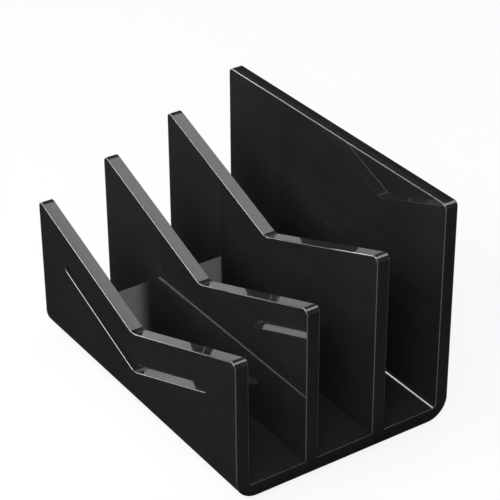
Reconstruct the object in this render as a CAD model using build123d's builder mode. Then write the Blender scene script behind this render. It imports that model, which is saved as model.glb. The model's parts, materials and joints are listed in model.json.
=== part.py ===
"""Desk mail organizer of thick gloss sheet, with stepped upright panels.

One sheet is bent into a U that makes the front panel, the base and the back panel.
Flat dividers stand bonded on its floor, and four soft feet carry it.
X runs along the panels, Y from the front to the back and Z up.
The origin is on the table, under the middle of the organizer.
"""
import os

from build123d import *

# Driving dimensions, in millimetres
panel_length = 204.0  # every panel and the base, end to end
sheet = 8.0  # thickness of all the sheet
pocket = 36.0  # clear width of each compartment
front_height = 88.0  # ends of the front panel, above the underside of the base
height_step = 16.0  # rise from each panel to the one behind it
notch_depth = 37.5  # drop of the V from the ends of a panel to its middle
notch_radius = 7.0  # rounded point of the V
corner_radius = 3.0  # top corners of the panels
outer_bend = 13.0  # outside radius of the two bends, where the hot sheet stretches
inner_bend = 2.5  # inside radius of the two bends, tight as a heated line leaves it
edge_round = 0.5  # polished arris along every cut edge
slot_width = 5.0  # chevron slot in the front panel
slot_rise = 15.0  # from the top of the bend up to the middle of the slot, under the point of the V
slot_drop = 21.0  # from the V's edge down to the middle of the slot, at its tips
slot_margin = 28.0  # from each end of the panel to the tip of the slot
slot_turn = 5.0  # radius of the slot's middle line under the V
foot_diameter = 10.0
foot_height = 2.0
foot_taper = 0.4  # how far a foot's wall leans in on its way down to the table
foot_chamfer = 0.5  # lower rim of a foot
foot_margin = 2.0  # flat base left between a foot and the bend
divider_names = ("front_divider", "rear_divider")
smooth_limit = 0.5  # faces whose normals agree more than this run on into each other with no edge

# Sizes and places that follow from them
pitch = sheet + pocket
depth = sheet + pitch * (len(divider_names) + 1)
half_length = panel_length / 2
front_face = -depth / 2
back_face = depth / 2
underside = foot_height
floor = underside + sheet
bend_top = underside + outer_bend
front_top = underside + front_height
notch_point = front_top - notch_depth
back_top = front_top + height_step * (len(divider_names) + 1)
notch_slope = notch_depth / half_length
slot_tip = half_length - slot_margin - slot_width / 2
slot_low = bend_top + slot_rise
slot_high = notch_point + slot_tip * notch_slope - slot_drop
foot_inset = outer_bend + foot_diameter / 2 + foot_margin
foot_rim = (foot_diameter / 2 - foot_taper, -foot_height)

os.makedirs("parts", exist_ok=True)


def elevation(origin):
    """Upright plane through a point, seen from the front: its own x is X and its own y is Z."""
    return Plane(origin=origin, x_dir=(1, 0, 0), z_dir=(0, -1, 0))


def notched_panel(face, bottom, top):
    """Outline of an upright panel with a V-notched top and rounded corners, its height along y."""
    with BuildSketch(elevation((0, face, 0))) as outline:
        with BuildLine():
            Polyline(
                (-half_length, bottom),
                (half_length, bottom),
                (half_length, top),
                (0, top - notch_depth),
                (-half_length, top),
                close=True,
            )
        make_face()
        fillet(outline.vertices().group_by(Axis.Y)[-1], corner_radius)
        fillet(outline.vertices().sort_by_distance((0, top - notch_depth))[0], notch_radius)
    return outline.sketch


def arrises(solid):
    """Edges where two faces of the sheet meet square, as a saw or a cutter leaves them."""
    square = ShapeList()
    for edge in solid.edges():
        middle = edge @ 0.5
        normals = [face.normal_at(middle) for face in solid.faces() if edge in face.edges()]
        if abs(normals[0].dot(normals[1])) < smooth_limit:
            square.append(edge)
    return square


# Outer shell: front panel, base and back panel in one bent sheet
with BuildPart() as outer_shell:
    with BuildSketch(Plane.YZ) as bent_section:
        with BuildLine():
            Polyline(
                (front_face, notch_point),
                (front_face, underside),
                (back_face, underside),
                (back_face, back_top),
                (back_face - sheet, back_top),
                (back_face - sheet, floor),
                (front_face + sheet, floor),
                (front_face + sheet, notch_point),
                close=True,
            )
        make_face()
        fillet(bent_section.vertices().group_by(Axis.Y)[1], inner_bend)
        fillet(bent_section.vertices().group_by(Axis.Y)[0], outer_bend)
    extrude(amount=half_length, both=True)
    back_corners = outer_shell.edges().filter_by(Axis.Y).group_by(Axis.Z)[-1]
    fillet(back_corners, corner_radius)
    extrude(notched_panel(front_face, bend_top, front_top), amount=-sheet)
    with BuildSketch(elevation((0, front_face, 0))):
        with BuildLine():
            FilletPolyline(
                (-slot_tip, slot_high),
                (0, slot_low),
                (slot_tip, slot_high),
                radius=slot_turn,
            )
            offset(amount=slot_width / 2)
        make_face()
    extrude(amount=-sheet, mode=Mode.SUBTRACT)
    fillet(arrises(outer_shell.part), edge_round)
    # The floor's end edges stay square under the dividers, so that the bonded ends are flush
    for number in range(1, len(divider_names) + 1):
        with Locations(*[
            (end * (half_length - edge_round), front_face + number * pitch + sheet / 2, floor - edge_round)
            for end in (-1, 1)
        ]):
            Box(2 * edge_round, sheet, 2 * edge_round)
outer_shell.part.label = "outer_shell"
export_step(outer_shell.part, "parts/outer_shell.step")

# Dividers: flat panels that stand on the floor, each a step taller than the panel in front of it
for number, name in enumerate(divider_names, start=1):
    divider_face = front_face + number * pitch
    with BuildPart() as divider:
        extrude(notched_panel(divider_face, floor, front_top + number * height_step), amount=-sheet)
        bonded = divider.edges().group_by(Axis.Z)[0]
        fillet(arrises(divider.part) - bonded, edge_round)
    divider.part.label = name
    export_step(divider.part, f"parts/{name}.step")

# Feet: low bumpers stuck under the corners of the base, each turned about its own upright axis
for row, y_sign in (("front", -1), ("rear", 1)):
    for side, x_sign in (("left", -1), ("right", 1)):
        foot_place = (x_sign * (half_length - foot_inset), y_sign * (back_face - foot_inset), underside)
        with BuildPart() as foot:
            with BuildSketch(elevation(foot_place)) as half_section:
                with BuildLine():
                    Polyline((0, 0), (foot_diameter / 2, 0), foot_rim, (0, -foot_height), close=True)
                make_face()
                chamfer(half_section.vertices().sort_by_distance(foot_rim)[0], foot_chamfer)
            revolve(axis=Axis(foot_place, (0, 0, 1)))
        name = f"foot_{row}_{side}"
        foot.part.label = name
        export_step(foot.part, f"parts/{name}.step")
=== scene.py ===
# %% [markdown]
# # A mail organizer in gloss black sheet
# The organizer is one thick black sheet, bent into a U, with two flat dividers bonded on its floor.
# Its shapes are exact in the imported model, so this lesson is about what makes them look real.
# That is the finish of the faces and of the cut edges, the light that they mirror, and the camera.
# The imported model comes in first, as a frame that is never moved or reshaped.

# %% Load the frame
import json
from math import pi, radians
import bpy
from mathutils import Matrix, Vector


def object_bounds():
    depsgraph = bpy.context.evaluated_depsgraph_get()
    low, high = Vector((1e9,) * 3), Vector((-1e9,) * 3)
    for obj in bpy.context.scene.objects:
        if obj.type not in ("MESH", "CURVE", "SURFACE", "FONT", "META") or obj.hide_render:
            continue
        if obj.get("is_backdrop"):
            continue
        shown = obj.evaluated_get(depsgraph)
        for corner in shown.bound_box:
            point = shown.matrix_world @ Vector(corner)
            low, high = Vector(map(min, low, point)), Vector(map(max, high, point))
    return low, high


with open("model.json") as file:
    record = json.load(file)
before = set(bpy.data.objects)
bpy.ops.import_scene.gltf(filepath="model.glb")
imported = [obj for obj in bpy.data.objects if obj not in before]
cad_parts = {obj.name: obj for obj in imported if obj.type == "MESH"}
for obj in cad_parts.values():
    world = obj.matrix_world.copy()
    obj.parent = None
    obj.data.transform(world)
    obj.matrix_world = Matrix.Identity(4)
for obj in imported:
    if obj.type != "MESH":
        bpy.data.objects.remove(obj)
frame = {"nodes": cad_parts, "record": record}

from types import SimpleNamespace

import bpy
from mathutils import Quaternion, Vector

cad_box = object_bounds()
nodes = frame["nodes"]
print("pieces:", sorted(nodes))

# %% [markdown]
# ## A shorthand for materials
# A material is a small circuit of nodes. Wired by hand it takes many clicks, and in a script many lines.
# The class below wraps one output of a node, so that arithmetic on it adds the Math nodes by itself.
# Every other node comes from its `node` method, which sets the settings first and then the inputs.
# That keeps a finish readable: it is a formula of where a point lies and which way it faces.

# %% Signals
# A Mix node has inputs of the same names for numbers, vectors and colours, so the colour ones go by number
MIX_FACTOR, MIX_LOW, MIX_HIGH = 0, 6, 7
MIXED_COLOUR = 2


class Signal:
    """One output socket in a node tree."""

    def __init__(self, tree, socket=None):
        self.tree = tree
        self.socket = socket

    def node(self, kind, settings=None, inputs=None, output=0):
        """Adds a node and returns the signal of one of its outputs."""
        new = self.tree.nodes.new(kind)
        for name, value in (settings or {}).items():
            setattr(new, name, value)
        for name, value in (inputs or {}).items():
            if isinstance(value, Signal):
                self.tree.links.new(value.socket, new.inputs[name])
            else:
                new.inputs[name].default_value = value
        return Signal(self.tree, new.outputs[output] if new.outputs else None)

    def math(self, operation, *values):
        return self.node("ShaderNodeMath", {"operation": operation}, dict(enumerate(values)))

    def __add__(self, other):
        return self.math("ADD", self, other)

    def __sub__(self, other):
        return self.math("SUBTRACT", self, other)

    def __rsub__(self, other):
        return self.math("SUBTRACT", other, self)

    def __mul__(self, other):
        return self.math("MULTIPLY", self, other)

    def __neg__(self):
        return 0 - self

    def __abs__(self):
        return self.math("ABSOLUTE", self)

    __radd__ = __add__
    __rmul__ = __mul__

    def larger(self, other):
        return self.math("MAXIMUM", self, other)

    def sign(self):
        return self.math("SIGN", self)

    def between(self, low, high):
        """Rises smoothly from 0 to 1 as the signal goes from low to high."""
        ends = {"Value": self, "From Min": low, "From Max": high}
        return self.node("ShaderNodeMapRange", {"interpolation_type": "SMOOTHSTEP"}, ends)

    def axes(self):
        """The X, Y and Z parts of a vector."""
        parts = self.node("ShaderNodeSeparateXYZ", None, {"Vector": self}).socket.node.outputs
        return [Signal(self.tree, part) for part in parts]

    def clouds(self, size, stretch=(1, 1, 1), detail=2):
        """Random clouds, from 0 to 1, about `size` metres across, drawn out along the axes by `stretch`."""
        scale = [1 / length for length in stretch]
        vector = self.node("ShaderNodeMapping", None, {"Vector": self, "Scale": scale})
        return self.node("ShaderNodeTexNoise", None, {"Vector": vector, "Scale": 1 / size, "Detail": detail})

    def specks(self, spacing, radius):
        """Small round spots, 1 in the middle, at random places about `spacing` metres apart."""
        distance = self.node("ShaderNodeTexVoronoi", None, {"Vector": self, "Scale": 1 / spacing})
        return 1 - distance.between(0, radius / spacing)

    def blend(self, low, high):
        """A colour that goes from one to another as the signal goes from 0 to 1."""
        ends = {MIX_FACTOR: self, MIX_LOW: low, MIX_HIGH: high}
        return self.node("ShaderNodeMix", {"data_type": "RGBA"}, ends, MIXED_COLOUR)


# %% Start and end of a material
def new_material(name):
    """An empty material, with the signal that its nodes start from."""
    material = bpy.data.materials.new(name)
    material.use_nodes = True
    material.node_tree.nodes.clear()
    return material, Signal(material.node_tree)


def show(start, shader):
    """Ends a material: its shader goes to the output."""
    start.node("ShaderNodeOutputMaterial", None, {"Surface": shader})
    print("material", start.tree.name, "has", len(start.tree.nodes), "nodes")


# %% [markdown]
# ## The surfaces of the sheet
# A sheet product has few kinds of surface: cast faces, sawn ends, buffed top edges, and small round rims.
# They could be painted one by one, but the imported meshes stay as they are.
# So masks tell them apart by the way a point faces and by where it lies, from the sheet's own sizes.
# Each mask is a number from 0 to 1 that fades over a short way, so that no finish ends in a hard step.

# %% Sizes of the sheet
HALF_LENGTH, HALF_DEPTH = cad_box[1][:2]
SHEET = 0.008
MASK_EDGE = 0.001
print("the base is", round(2 * HALF_LENGTH, 4), "by", round(2 * HALF_DEPTH, 4), "m")

# %% [markdown]
# ## Ends, edges and rims
# A sawn end faces along the panels, and a cut edge faces neither along them nor forward.
# A rim is what turns from one to the other. Its masks are read from the normal, as shares of 1.
# A pair of shares says from where to where a rim counts as turned away from its face.

# %% Masks of ends, edges and rims
PANEL_FOOT = 0.020
TURNED_A_LITTLE = (0.04, 0.12)
TURNED_FULLY = (0.93, 0.995)


def mask_edges(on):
    """Tells the sawn ends, the panels' cut edges and the rims apart, by the way they face."""
    sideways, forward = abs(on.face_x), abs(on.face_y)
    standing = on.height.between(PANEL_FOOT - 2 * MASK_EDGE, PANEL_FOOT)
    square = 1 - forward.between(*TURNED_A_LITTLE)
    on.end_face = sideways.between(*TURNED_FULLY)
    on.cut_edge = square * (1 - on.end_face) * standing
    end_rim = sideways.between(*TURNED_A_LITTLE) * (1 - on.end_face) * (1 - square * standing)
    long_rim = (1 - square) * (1 - forward.between(*TURNED_FULLY)) * standing
    on.panel_rim = long_rim.larger(end_rim * (1 - square))
    on.floor_rim = end_rim * square


# %% [markdown]
# ## The slot and the compartments
# The slot's walls face as the notched top edges do, so their place has to tell them from those.
# They are the cut edges in the front panel that lie well under its V-shaped top.
# The compartments' faces get a mask as well: they and the slot's walls get a lighter black, as painted fill
# light in their shade.

# %% Masks of the slot and the compartments
FRONT_TOP = 0.090
NOTCH_DEPTH = 0.0375
SLOT_COVER = 0.008


def mask_slot(on):
    """Finds the slot's walls, which have sheet between them and the V-shaped top."""
    inner_face = HALF_DEPTH - SHEET
    notch_edge = FRONT_TOP - NOTCH_DEPTH + NOTCH_DEPTH / HALF_LENGTH * abs(on.along)
    covered = (notch_edge - on.height).between(SLOT_COVER - MASK_EDGE, SLOT_COVER)
    in_front_panel = (-on.across).between(inner_face - 2 * MASK_EDGE, inner_face - MASK_EDGE)
    on.slot = on.cut_edge * covered * in_front_panel


def mask_inside(on):
    """Finds all but the ends, between the middles of the outer walls and above the middle of the base."""
    wall_middle = HALF_DEPTH - SHEET / 2
    between_walls = 1 - abs(on.across).between(wall_middle - MASK_EDGE, wall_middle + MASK_EDGE)
    above_base = on.height.between(SHEET / 2, SHEET / 2 + 2 * MASK_EDGE)
    on.inside = between_walls * above_base * (1 - on.end_face)


# %% [markdown]
# ## The top corners
# A buffing wheel runs along the slopes of the V. It does less at their ends and on the level back edge.
# The slopes face in towards the middle of the panel, so that lean tells them from the other cut edges.
# A thin dull line is left where the rounding of a top corner starts, a few millimetres from the end.

# %% Masks of the top corners
LEANING_OUT = (-0.25, -0.1)
LINE_FROM_END = (0.0028, 0.0048)
LINE_EDGE = 0.0003


def mask_corners(on):
    """Finds the cut edges off the slopes of the V, and the dull line beside each top corner."""
    outwards = on.face_x * on.along.sign()
    on.off_slope = on.cut_edge * outwards.between(*LEANING_OUT) * (1 - on.slot)
    from_end = HALF_LENGTH - abs(on.along)
    line_start, line_stop = LINE_FROM_END
    past_start = from_end.between(line_start - LINE_EDGE, line_start)
    past_stop = from_end.between(line_stop, line_stop + LINE_EDGE)
    on.corner_line = on.cut_edge * past_start * (1 - past_stop)


# %% [markdown]
# ## All the masks of a point
# Place and direction come from the Texture Coordinate node, as Object and Normal.
# Both belong to the piece and not to the camera, so the finish stays put when the view changes.

# %% Gather the masks
def surfaces(start):
    """Where a point of the sheet lies, which way it faces and which kinds of surface it is on."""
    on = SimpleNamespace(place=start.node("ShaderNodeTexCoord", None, None, "Object"))
    facing = start.node("ShaderNodeTexCoord", None, None, "Normal")
    on.along, on.across, on.height = on.place.axes()
    on.face_x, on.face_y = facing.axes()[:2]
    for add_masks in (mask_edges, mask_slot, mask_inside, mask_corners):
        add_masks(on)
    return on


# %% [markdown]
# ## Marks of use
# Cleaning leaves fine streaks along the panels, hands leave broad clouds, and dust settles in specks.
# They are faint, as on a new piece, but they keep the black from looking like a hole in the picture.
# Scanned scratches could be laid over the sheet, but noise needs no file and shows no seams.

# %% Marks
STREAK_WIDTH = 0.0012
STREAK_STRETCH = (40, 1, 6)
STREAK_DETAIL = 3
CLOUD_SIZE = 0.045
CLOUD_DETAIL = 4
DUST_SPACING = 0.009
DUST_RADIUS = 0.00035


def add_marks(on):
    """Adds what cleaning, hands and dust leave on the sheet, each from 0 to 1."""
    on.wiping = on.place.clouds(STREAK_WIDTH, STREAK_STRETCH, STREAK_DETAIL)
    on.handling = on.place.clouds(CLOUD_SIZE, detail=CLOUD_DETAIL)
    on.dust = on.place.specks(DUST_SPACING, DUST_RADIUS)


# %% [markdown]
# ## Colour and gloss
# Cast sheet is dyed through, nearly black, under a hard gloss, with no print or paint on the real sheet.
# Marks, handling and dust make the black a little greyer. The compartments' faces and the slot's walls are
# greyer too, as painted fill light, and the thin rims are greyest, as a painted highlight.
# The gloss is the shader's coat: full on the faces, less on the buffed edges, and hardly any on the ends.

# %% Colour
BLACK = (0.009, 0.009, 0.0094, 1)
# The upper black is reached by wear and dust, and by the painted fill light inside the compartments and the
# slot.
WORN_AND_FILL_LIT_BLACK = (0.021, 0.021, 0.0215, 1)
# The rims' lighter grey is a painted highlight along the rounded edges.
RIM_HIGHLIGHT_GREY = (0.042, 0.042, 0.0425, 1)
MARK_RANGE = (0.25, 0.75)
MARK_WEAR = 0.28
# How far the compartments' faces and the slot's walls go towards the lighter black: painted fill light in
# their shade, not wear.
INSIDE_FILL_LIGHT = 0.47
DUST_WEAR = 0.5


def sheet_colour(on):
    """Black that goes grey with wear and dust, lighter inside the compartments and in the slot as painted
    fill light, and lighter still on the rims as a painted highlight.
    """
    marks = on.wiping.between(*MARK_RANGE) + on.handling.between(*MARK_RANGE)
    # Marks and dust are real wear; the term for the compartments and the slot is painted fill light.
    wear = MARK_WEAR * marks + INSIDE_FILL_LIGHT * on.inside.larger(on.slot) + DUST_WEAR * on.dust
    # The rims are blended to the painted highlight grey.
    return on.panel_rim.blend(wear.blend(BLACK, WORN_AND_FILL_LIT_BLACK), RIM_HIGHLIGHT_GREY)


# %% Gloss
STRONG_STREAKS = (0.55, 0.8)
STREAK_HAZE = 0.25
DUST_HAZE = 0.4
EDGE_DULLING = 0.12
OFF_SLOPE_DULLING = 0.55
LINE_DULLING = 0.9
FLOOR_RIM_DULLING = 0.78
END_DULLING = 0.97


def sheet_gloss(on):
    """How much of the coat is left, from 0 to 1."""
    haze = 1 - STREAK_HAZE * on.wiping.between(*STRONG_STREAKS) * on.handling - DUST_HAZE * on.dust
    buffing = (1 - EDGE_DULLING * on.cut_edge) * (1 - OFF_SLOPE_DULLING * on.off_slope)
    buffing = buffing * (1 - LINE_DULLING * on.corner_line) * (1 - FLOOR_RIM_DULLING * on.floor_rim)
    return (1 - END_DULLING * on.end_face) * buffing * haze


# %% [markdown]
# ## The black sheet
# The colour and the gloss go into one Principled shader, with the marks in its roughness.
# Heat leaves a slight wave in the sheet near the bends, and wiping leaves hardly any relief at all.
# Both are too shallow to model, so a Bump node tilts the light instead.

# %% Black sheet
SMUDGES = (0.4, 0.7)
SHEET_ROUGHNESS = 0.1
SMUDGE_ROUGHNESS = 0.12
STREAK_ROUGHNESS = 0.08
WAVE_SIZE = 0.02
WAVES_END = (0.02, 0.05)
STREAK_RELIEF = 0.5


def black_sheet():
    material, start = new_material("polished_black_sheet")
    on = surfaces(start)
    add_marks(on)
    smudged = SMUDGE_ROUGHNESS * on.handling.between(*SMUDGES)
    waves = on.place.clouds(WAVE_SIZE) * (1 - on.height.between(*WAVES_END))
    ripple = start.node("ShaderNodeBump", None, {
        "Strength": 0.15,
        "Distance": 0.0004,
        "Height": STREAK_RELIEF * on.wiping + waves,
    }, "Normal")
    shader = start.node("ShaderNodeBsdfPrincipled", None, {
        "Base Color": sheet_colour(on),
        "Roughness": SHEET_ROUGHNESS + smudged + STREAK_ROUGHNESS * on.wiping,
        "Specular IOR Level": 0.005,
        "Coat Weight": sheet_gloss(on),
        "Coat Roughness": 0.03,
        "Coat IOR": 1.5,
        "Normal": ripple,
    })
    show(start, shader)
    return material


# %% [markdown]
# ## The feet
# Under the base sit four soft bumpers. Moulded rubber is matt, with a fine grain that scatters the light.
# They hardly show, but the organizer is also seen from low down, so they get their grain all the same.

# %% Rubber
RUBBER = (0.012, 0.012, 0.012, 1)
SCUFFED_RUBBER = (0.035, 0.034, 0.033, 1)
GRAIN_SIZE = 0.0004
GRAIN_DETAIL = 3
SCUFF_SIZE = 0.004
SCUFF_SHARE = 0.6
RUBBER_ROUGHNESS = 0.65
SCUFF_ROUGHNESS = 0.25


def foot_rubber():
    material, start = new_material("matt_foot_rubber")
    place = start.node("ShaderNodeTexCoord", None, None, "Object")
    grain = place.clouds(GRAIN_SIZE, detail=GRAIN_DETAIL)
    scuffs = place.clouds(SCUFF_SIZE)
    wear = SCUFF_SHARE * scuffs + (1 - SCUFF_SHARE) * grain
    rough = start.node("ShaderNodeBump", None, {
        "Strength": 0.4,
        "Distance": 0.0001,
        "Height": grain,
    }, "Normal")
    shader = start.node("ShaderNodeBsdfPrincipled", None, {
        "Base Color": wear.blend(RUBBER, SCUFFED_RUBBER),
        "Roughness": RUBBER_ROUGHNESS + SCUFF_ROUGHNESS * scuffs,
        "Specular IOR Level": 0.3,
        "Normal": rough,
    })
    show(start, shader)
    return material


# %% [markdown]
# ## Giving the finishes to the pieces
# The record names a material slot for every piece, so the finish is chosen by that name.
# The meshes stay as they are: only what is in their material slots changes.

# %% Finishes
finishes = {"black_acrylic": black_sheet(), "foot_rubber": foot_rubber()}
for piece in frame["record"]["subparts"]:
    nodes[piece["node"]].material_slots[0].material = finishes[piece["material_slot"]]
    print(piece["node"], "is", piece["material_slot"])

# %% [markdown]
# ## White paper
# A product picture stands on white paper. Lit until it is white, it would flood the black sheet with light.
# So part of the white is its own glow, only for rays that look at it: from the camera, a mirror or glass.
# The other part is plain paper, which still takes the organizer's soft shadow.

# %% Paper
PAPER_WHITE = 0.9
PAPER_GLOW = 0.85
PAPER_BOUNCE = 0.4


def white_paper():
    material, start = new_material("white_paper")
    seen = start.node("ShaderNodeLightPath", None, None, "Is Camera Ray")
    for ray in ("Is Glossy Ray", "Is Transmission Ray"):
        seen = seen.larger(start.node("ShaderNodeLightPath", None, None, ray))
    colour = seen.blend([PAPER_BOUNCE] * 3 + [1], [PAPER_WHITE] * 3 + [1])
    plain = start.node("ShaderNodeBsdfDiffuse", None, {"Color": colour})
    glow = start.node("ShaderNodeEmission", None, {"Strength": 1})
    show(start, start.node("ShaderNodeMixShader", None, {0: PAPER_GLOW * seen, 1: plain, 2: glow}))
    return material


paper = white_paper()

# %% [markdown]
# ## Floor and backdrop
# The floor is one flat sheet of that paper. From low down the camera looks past it, to the horizon.
# So a ring of the same paper stands far off on every side: a low cylinder with no ends.

# %% Floor and ring
FLOOR_SIZE = 12
RING_RADIUS = 5.5
RING_HEIGHT = 1.0
RING_SIDES = 96


def stage_last(name, material):
    """Makes the mesh that was added last a part of the studio, with its place in the mesh."""
    added = bpy.context.object
    added.name = name
    bpy.ops.object.transform_apply(location=True, rotation=False, scale=True)
    added.data.materials.append(material)
    added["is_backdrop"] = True
    print("studio has", name)
    return added


bpy.ops.object.select_all(action="DESELECT")
bpy.ops.mesh.primitive_plane_add(size=FLOOR_SIZE)
stage_last("studio_floor", paper)

bpy.ops.object.select_all(action="DESELECT")
bpy.ops.mesh.primitive_cylinder_add(
    vertices=RING_SIDES,
    radius=RING_RADIUS,
    depth=RING_HEIGHT,
    end_fill_type="NOTHING",
    location=(0, 0, RING_HEIGHT / 2),
)
bpy.ops.object.shade_smooth()
stage_last("studio_backdrop", paper)

# %% [markdown]
# ## A black card
# Gloss black looks grey wherever it mirrors white paper, so in a studio a black card is laid beside it.
# Here it lies under the organizer, in front of it and at its left, and only mirrors see it.
# Towards the outside it fades away, so that from other sides no hard edge of it shows in the panels.

# %% Black card
CARD_LOW = Vector((-0.45, -0.17))
CARD_HIGH = Vector((0.102, 0.15))
FADE_LOW = Vector((0.15, 0.3))
FADE_HIGH = Vector((0.02, 0.25))
CARD_LIFT = 0.0005
CARD_GREY = 0.03


def black_card():
    material, start = new_material("black_card")
    place = start.node("ShaderNodeTexCoord", None, None, "Object").axes()
    cover = 1
    for axis, low, high, fade_low, fade_high in zip(place, CARD_LOW, CARD_HIGH, FADE_LOW, FADE_HIGH):
        cover = cover * axis.between(low - fade_low, low) * (1 - axis.between(high, high + fade_high))
    clear = start.node("ShaderNodeBsdfTransparent")
    black = start.node("ShaderNodeBsdfDiffuse", None, {"Color": [CARD_GREY] * 3 + [1]})
    show(start, start.node("ShaderNodeMixShader", None, {0: cover, 1: clear, 2: black}))
    return material


card_start = CARD_LOW - FADE_LOW
card_end = CARD_HIGH + FADE_HIGH
bpy.ops.object.select_all(action="DESELECT")
bpy.ops.mesh.primitive_plane_add(size=1, location=(*(card_start + card_end) / 2, CARD_LIFT))
bpy.context.object.scale = (*(card_end - card_start), 1)
card = stage_last("black_card", black_card())
card.visible_camera = False
card.visible_diffuse = False
card.visible_transmission = False
card.visible_shadow = False

# %% [markdown]
# ## Light
# Black gloss is lit by what it mirrors, so each softbox stands where some surface reflects it to the camera.
# A softbox is set by its radiance: it looks as bright whatever its size, and the lamp's power follows.
# A few light the faces themselves, and the others are seen by mirrors only, so that the level stays plain.

# %% Softboxes
def softbox(name, centre, aim, size, radiance, glossy=True, diffuse=True):
    """A rectangular lamp at one place, turned to another, that the camera doesn't see."""
    bpy.ops.object.select_all(action="DESELECT")
    bpy.ops.object.light_add(type="AREA", location=centre)
    lamp = bpy.context.object
    lamp.name = name
    lamp.data.shape = "RECTANGLE"
    lamp.data.size, lamp.data.size_y = size
    lamp.data.energy = radiance * pi * size[0] * size[1]
    lamp.rotation_euler = (Vector(aim) - Vector(centre)).to_track_quat("-Z", "Y").to_euler()
    lamp.visible_camera = False
    lamp.visible_glossy = glossy
    lamp.visible_diffuse = diffuse
    print("lamp", name, "is", size[0], "by", size[1], "m")
    return lamp


# %% Lamps that light the faces
MIDDLE = (0, 0, 0.05)
softbox("front_key", centre=(-0.39, -0.94, 0.81), aim=MIDDLE, size=(0.8, 0.8), radiance=5.2)
softbox("right_fill", centre=(0.9, -0.8, 0.85), aim=MIDDLE, size=(1, 1), radiance=4, glossy=False)
softbox("top_fill", centre=(0, 0, 3), aim=MIDDLE, size=(3, 3), radiance=1.5, glossy=False)

# %% Lamps that show in the top edges and in the rims
softbox("top_back_left", centre=(-0.32, 0.67, 1.19), aim=(-0.32, 0, 0.05),
        size=(0.4, 0.5), radiance=3.5)
softbox("top_back_right", centre=(0.265, 0.67, 1.19), aim=(0.265, 0, 0.05),
        size=(0.77, 0.5), radiance=12.5, diffuse=False)
softbox("front_strip", centre=(-0.2, -1.0, 0.6), aim=(0, 0, 0.6),
        size=(0.9, 1.2), radiance=16, diffuse=False)

# %% [markdown]
# ## Light from the left
# By way of the panels behind them, the sloping edges at the right mirror a low lamp at the left.
# It is two boxes that make one stepped shape, because a plain rectangle would show a pale patch
# in the back panel, where that mirrors the edge of the divider in front of it.
# Further out, a wall of light shows deep in the compartments, and a strip along the inside bends.
# The wall fades towards its upright edges, as the cloth of a softbox does, and so does its mirror image.

# %% A stepped lamp close by
STEP_RADIANCE = 5.6
softbox("left_low", centre=(-0.33, -0.225, 0.031), aim=(0.01, -0.015, 0.031),
        size=(0.304, 0.062), radiance=STEP_RADIANCE, diffuse=False)
softbox("left_high", centre=(-0.38, -0.144, 0.101), aim=(-0.04, 0.066, 0.101),
        size=(0.114, 0.078), radiance=STEP_RADIANCE, diffuse=False)

# %% A wall of light and a strip
WALL_FADE = 0.018


def fade_edges(lamp, fade):
    """Dims a lamp towards its left and right edges, over `fade` metres."""
    share = fade / lamp.data.size
    lamp.data.use_nodes = True
    start = Signal(lamp.data.node_tree)
    side = start.node("ShaderNodeNewGeometry", None, None, "Parametric").axes()[0]
    level = side.between(0, share) * (1 - side.between(1 - share, 1))
    start.tree.links.new(level.socket, start.tree.nodes["Emission"].inputs["Strength"])


wall = softbox("left_wall", centre=(-0.5, -0.0835, 0.55), aim=(0, -0.0835, 0.55),
               size=(0.407, 0.6), radiance=7.5, diffuse=False)
fade_edges(wall, WALL_FADE)
softbox("left_strip", centre=(-0.49, 0.07, 0.55), aim=(0, 0.07, 0.55),
        size=(0.1, 0.6), radiance=17, diffuse=False)

# %% [markdown]
# ## The room
# Beyond the lamps the room is a dim, even grey, so that what mirrors no lamp is dark but not dead black.

# %% World
ROOM_GREY = 0.06
world = bpy.data.worlds.new("studio")
bpy.context.scene.world = world
world.use_nodes = True
world.node_tree.nodes["Background"].inputs["Color"].default_value = [ROOM_GREY] * 3 + [1]
print("room light is", ROOM_GREY)

# %% [markdown]
# ## The camera
# The picture is taken from the right, well above the organizer, with a long lens.
# From far off with a long lens, the panels stay nearly parallel, as in most catalogue pictures.

# %% Camera
EYE = Vector((0.75549, -0.49872, 0.61902))
TARGET = Vector((-0.00088, 0.0083, 0.07903))
ROLL = radians(-0.3566)
LENS = 136.34

bpy.ops.object.camera_add(location=EYE)
camera = bpy.context.object
camera.rotation_mode = "QUATERNION"
camera.rotation_quaternion = (TARGET - EYE).to_track_quat("-Z", "Y") @ Quaternion((0, 0, 1), ROLL)
camera.data.lens = LENS
bpy.context.scene.camera = camera
bpy.context.scene.view_settings.view_transform = "Standard"
print("camera is", round((TARGET - EYE).length, 3), "m away")

# %% [markdown]
# ## The sizes
# The finishes add no thickness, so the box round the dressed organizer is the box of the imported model.

# %% Sizes
boxes = {"cad": cad_box, "visual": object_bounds()}
boxes = {name: [list(corner) for corner in box] for name, box in boxes.items()}
print("boxes:", boxes)
